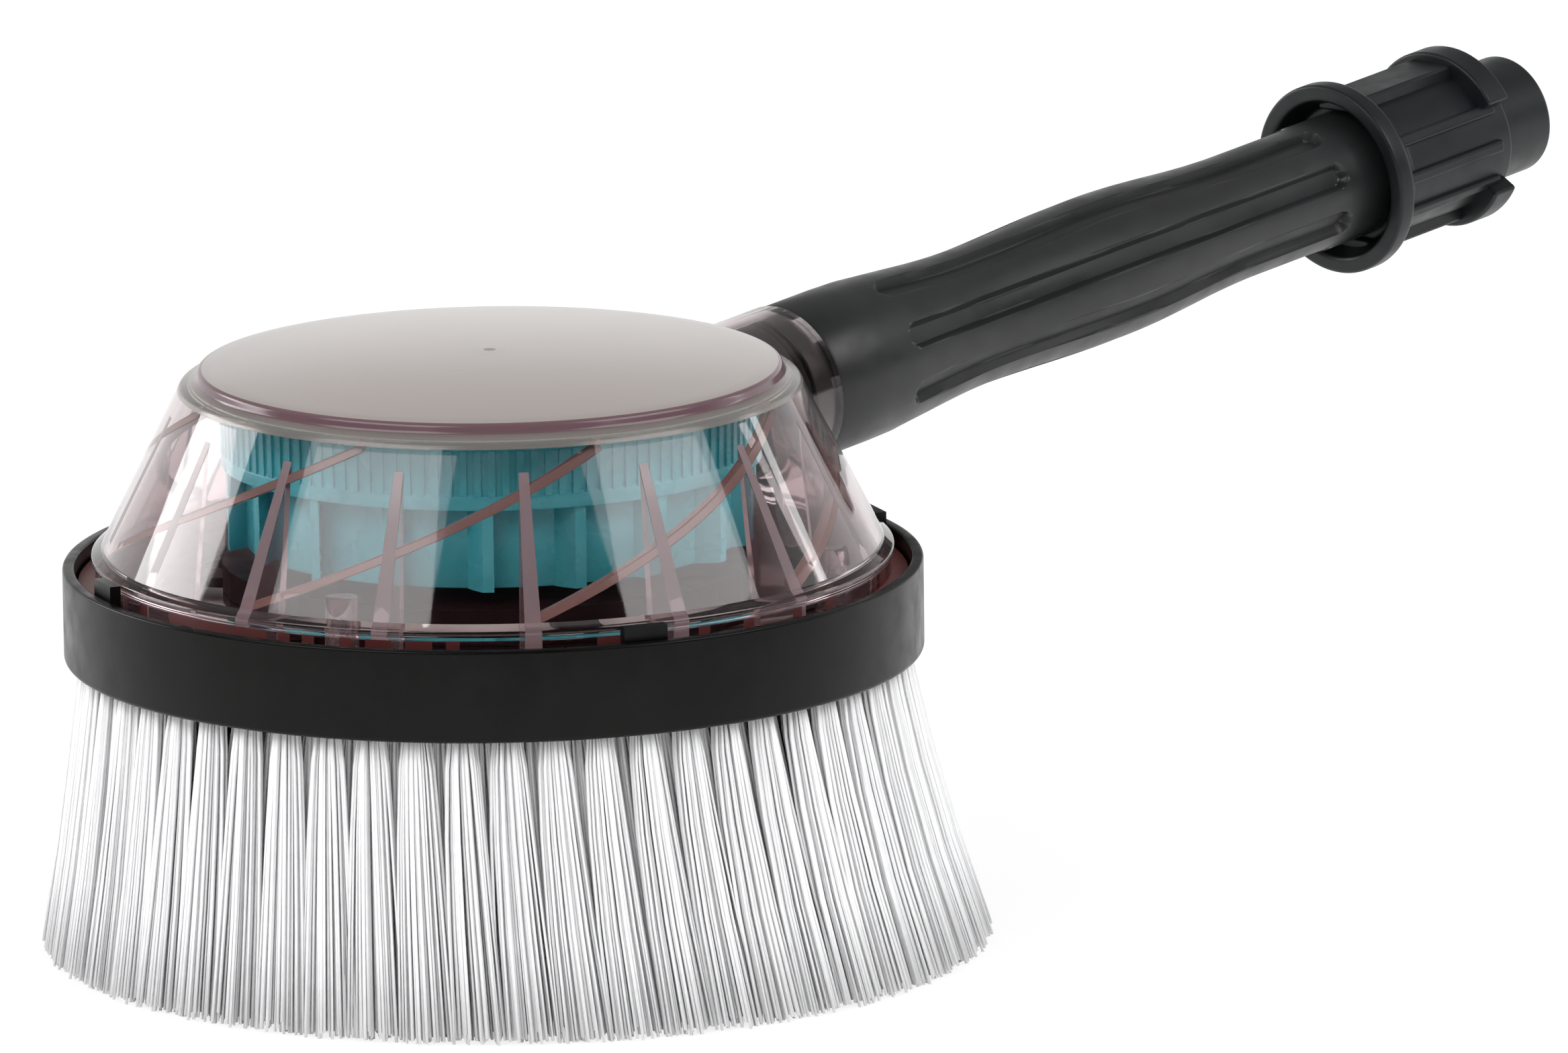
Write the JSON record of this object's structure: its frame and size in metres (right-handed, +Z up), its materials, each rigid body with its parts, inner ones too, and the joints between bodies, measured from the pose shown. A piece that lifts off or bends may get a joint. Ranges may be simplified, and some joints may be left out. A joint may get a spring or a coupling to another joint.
{
  "type": "rotary wash brush",
  "caption": "Rotary wash brush: a clear cover over a water-driven turbine wheel, a black skirt with a ring of flared pale bristles, and a fluted tilted handle with a bayonet coupling.",
  "frame": {"origin": "on the floor under the middle of the whole object's bounding box; the bristle tips stand at z = 0", "axes": "+X along the handle away from the spindle, +Y sideways, +Z up along the spindle"},
  "size_m": [0.3926, 0.1896, 0.1383],
  "materials": {
    "black_plastic": "satin moulded black",
    "soft_black": "matte moulded black with a cool tint",
    "clear_plastic": "clear moulded plastic with a smoky pink tint",
    "teal_plastic": "satin moulded teal",
    "white_nylon": "natural white nylon",
    "bristle_fibre": "fine pale filaments",
    "rubber": "black rubber",
    "steel": "turned stainless steel",
    "bronze": "plain bearing bronze"
  },
  "bodies": {
    "root": {"skirt_ring": "black_plastic", "cover_shell": "clear_plastic", "cover_clip_1": "black_plastic", "cover_clip_2": "black_plastic", "cover_clip_3": "black_plastic", "cover_clip_4": "black_plastic", "gear_carrier": "black_plastic", "chamber_drum": "black_plastic", "cover_screw_1": "steel", "cover_screw_2": "steel", "cover_screw_3": "steel", "cover_screw_4": "steel", "axle": "steel", "axle_washer": "steel", "axle_nut": "steel", "carrier_bush": "bronze", "planet_pin_1": "steel", "planet_pin_2": "steel", "planet_pin_3": "steel", "handle_tube": "black_plastic", "neck_seal": "rubber", "jet_nozzle": "soft_black", "coupling": "soft_black", "coupling_seal": "rubber", "coupling_pin_1": "steel", "coupling_pin_2": "steel"},
    "brush": {"brush_plate": "white_nylon", "brush_bush": "bronze", "ring_gear": "white_nylon", "ring_screw_1": "steel", "ring_screw_2": "steel", "ring_screw_3": "steel", "bristles_east": "bristle_fibre", "bristles_north": "bristle_fibre", "bristles_west": "bristle_fibre", "bristles_south": "bristle_fibre"},
    "turbine": {"turbine_wheel": "teal_plastic", "turbine_bush": "bronze", "drive_pinion": "white_nylon"},
    "planet_1": {"planet_gear_1": "white_nylon"},
    "planet_2": {"planet_gear_2": "white_nylon"},
    "planet_3": {"planet_gear_3": "white_nylon"}
  },
  "joints": [
    {"name": "brush_spin", "type": "hinge", "parent": "root", "child": "brush", "pos_m": [-0.10476, 0.0028, 0.0627], "axis": [0, 0, 1], "continuous": true},
    {"name": "turbine_spin", "type": "hinge", "parent": "root", "child": "turbine", "pos_m": [-0.10476, 0.0028, 0.09], "axis": [0, 0, 1], "continuous": true},
    {"name": "planet_1_spin", "type": "hinge", "parent": "root", "child": "planet_1", "pos_m": [-0.08226, 0.0028, 0.0705], "axis": [0, 0, 1], "continuous": true},
    {"name": "planet_2_spin", "type": "hinge", "parent": "root", "child": "planet_2", "pos_m": [-0.11601, 0.02229, 0.0705], "axis": [0, 0, 1], "continuous": true},
    {"name": "planet_3_spin", "type": "hinge", "parent": "root", "child": "planet_3", "pos_m": [-0.11601, -0.01668, 0.0705], "axis": [0, 0, 1], "continuous": true}
  ],
  "couplings": [
    {"joint": "turbine_spin", "follows": "brush_spin", "ratio": -4},
    {"joint": "planet_1_spin", "follows": "brush_spin", "ratio": 2.6667},
    {"joint": "planet_2_spin", "follows": "brush_spin", "ratio": 2.6667},
    {"joint": "planet_3_spin", "follows": "brush_spin", "ratio": 2.6667}
  ]
}
